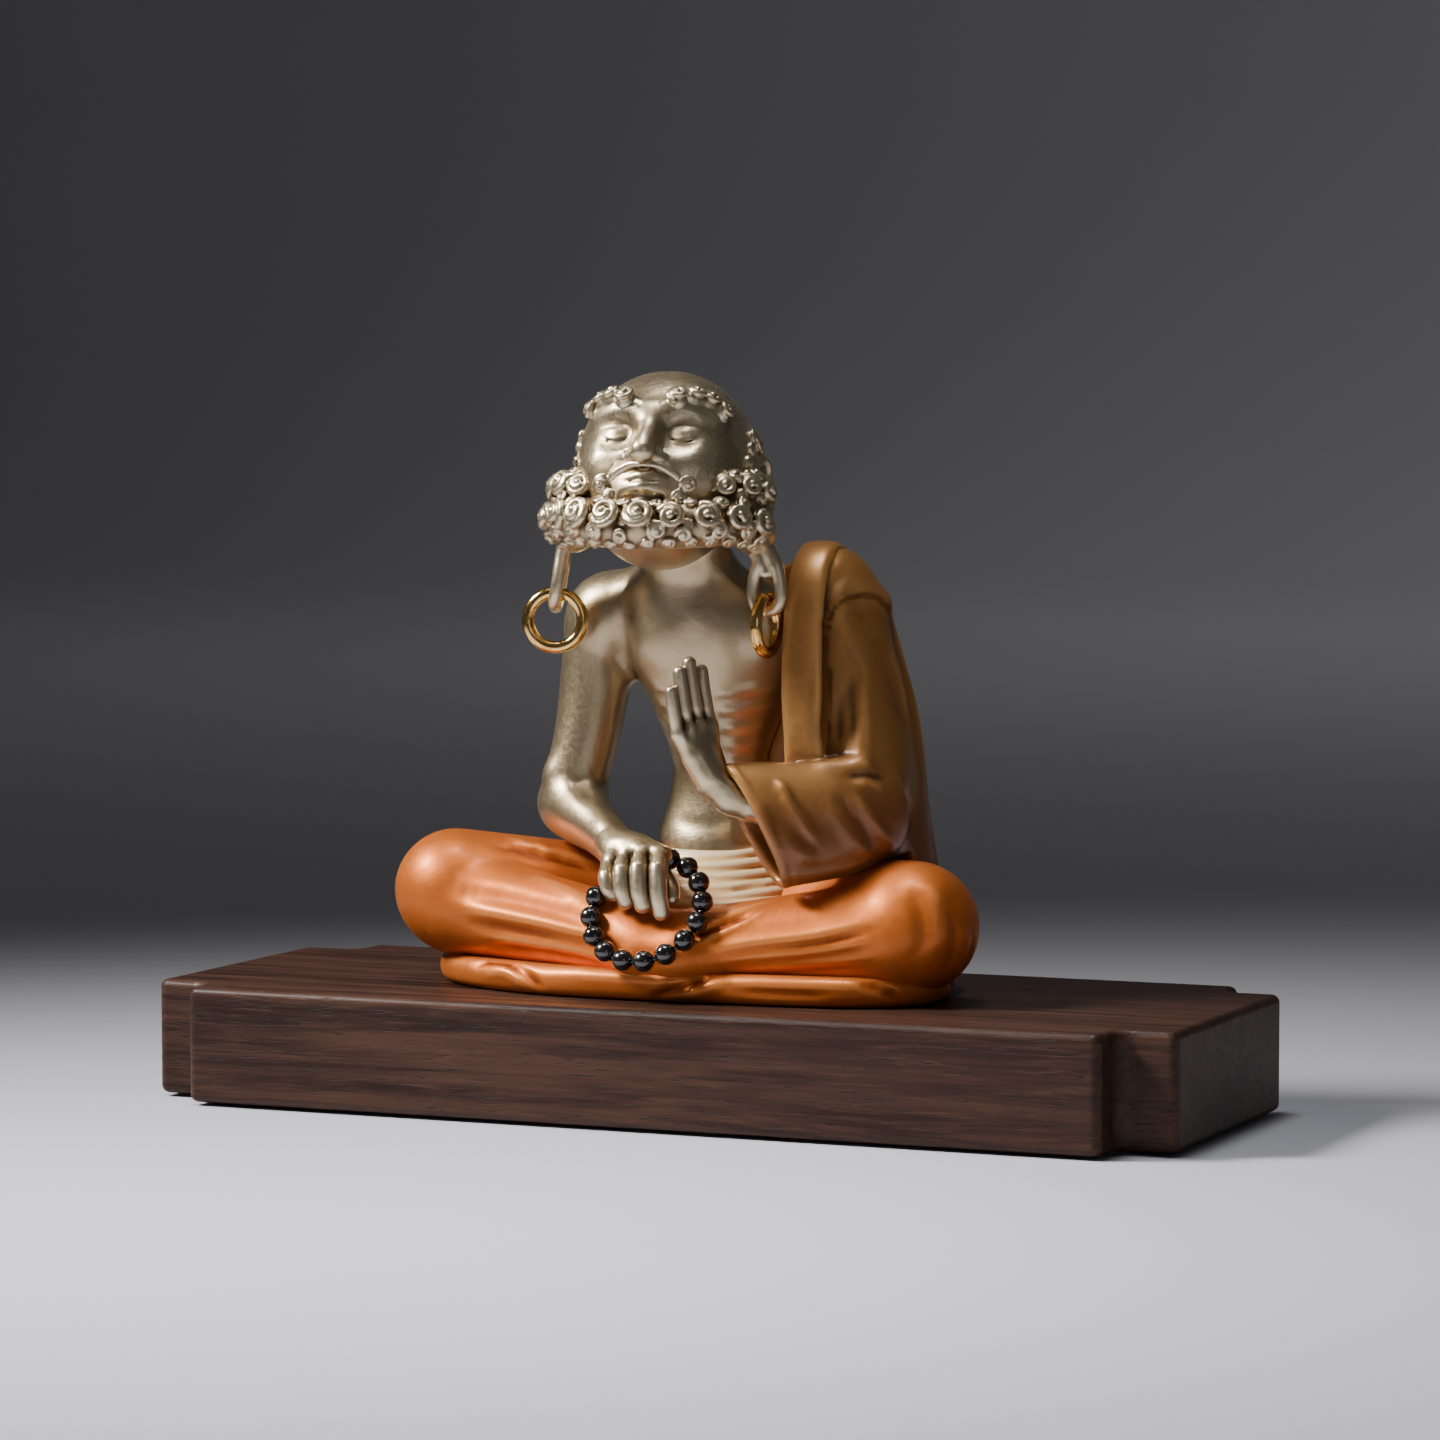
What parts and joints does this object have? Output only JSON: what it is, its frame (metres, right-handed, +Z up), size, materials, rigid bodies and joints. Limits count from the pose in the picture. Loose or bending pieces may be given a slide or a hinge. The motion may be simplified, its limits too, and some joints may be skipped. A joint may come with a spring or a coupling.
{
  "type": "seated monk figurine on a wooden plinth",
  "caption": "Seated bearded monk figurine in patinated cast metal with swinging ear rings, a robe, beads in one hand and a walnut plinth.",
  "frame": {"origin": "middle of the plinth's underside, on the surface that its pads stand on", "axes": "+Z up; +X along the plinth towards the figure's own left hand; the figure faces -Y"},
  "size_m": [0.25, 0.098, 0.1694],
  "materials": {
    "walnut": "open-pored walnut with a satin oil finish",
    "felt": "pressed felt",
    "steel": "plain turned steel",
    "raw_brass": "as cast",
    "orange_patina": "satin coloured patina over cast metal",
    "ochre_patina": "satin brown patina, worn lighter on the folds",
    "cream_patina": "satin pale patina",
    "champagne_skin": "satin champagne metallic",
    "polished_gold": "polished and gilt",
    "black_gloss": "high gloss black"
  },
  "bodies": {
    "root": {"plinth": "walnut", "foot_pads": "felt", "fixing_screws": "steel", "fixing_washers": "steel", "seat_plate": "raw_brass", "torso_stud": "steel", "neck_dowel": "steel", "robe_hem": "orange_patina", "trousers": "orange_patina", "waist_sash": "cream_patina", "torso": "champagne_skin", "right_upper_arm": "champagne_skin", "right_forearm": "champagne_skin", "right_hand": "champagne_skin", "left_hand": "champagne_skin", "robe_body": "ochre_patina", "robe_lapel": "ochre_patina", "robe_sleeve": "ochre_patina", "head": "champagne_skin", "beard": "champagne_skin", "moustache": "champagne_skin", "right_eyebrow": "champagne_skin", "left_eyebrow": "champagne_skin", "hair_fringe": "champagne_skin", "right_ear": "champagne_skin", "left_ear": "champagne_skin", "bead_cord": "black_gloss", "prayer_beads": "black_gloss"},
    "right_ring": {"right_earring": "polished_gold"},
    "left_ring": {"left_earring": "polished_gold"}
  },
  "joints": [
    {"name": "right_earring_swing", "type": "hinge", "parent": "root", "child": "right_ring", "pos_m": [-0.0336, -0.014, 0.1153], "axis": [-0.309, 0.9511, 0], "range_deg": [-40, 40]},
    {"name": "left_earring_swing", "type": "hinge", "parent": "root", "child": "left_ring", "pos_m": [0.0192, -0.0144, 0.1153], "axis": [1, 0, 0], "range_deg": [-35, 20]}
  ]
}
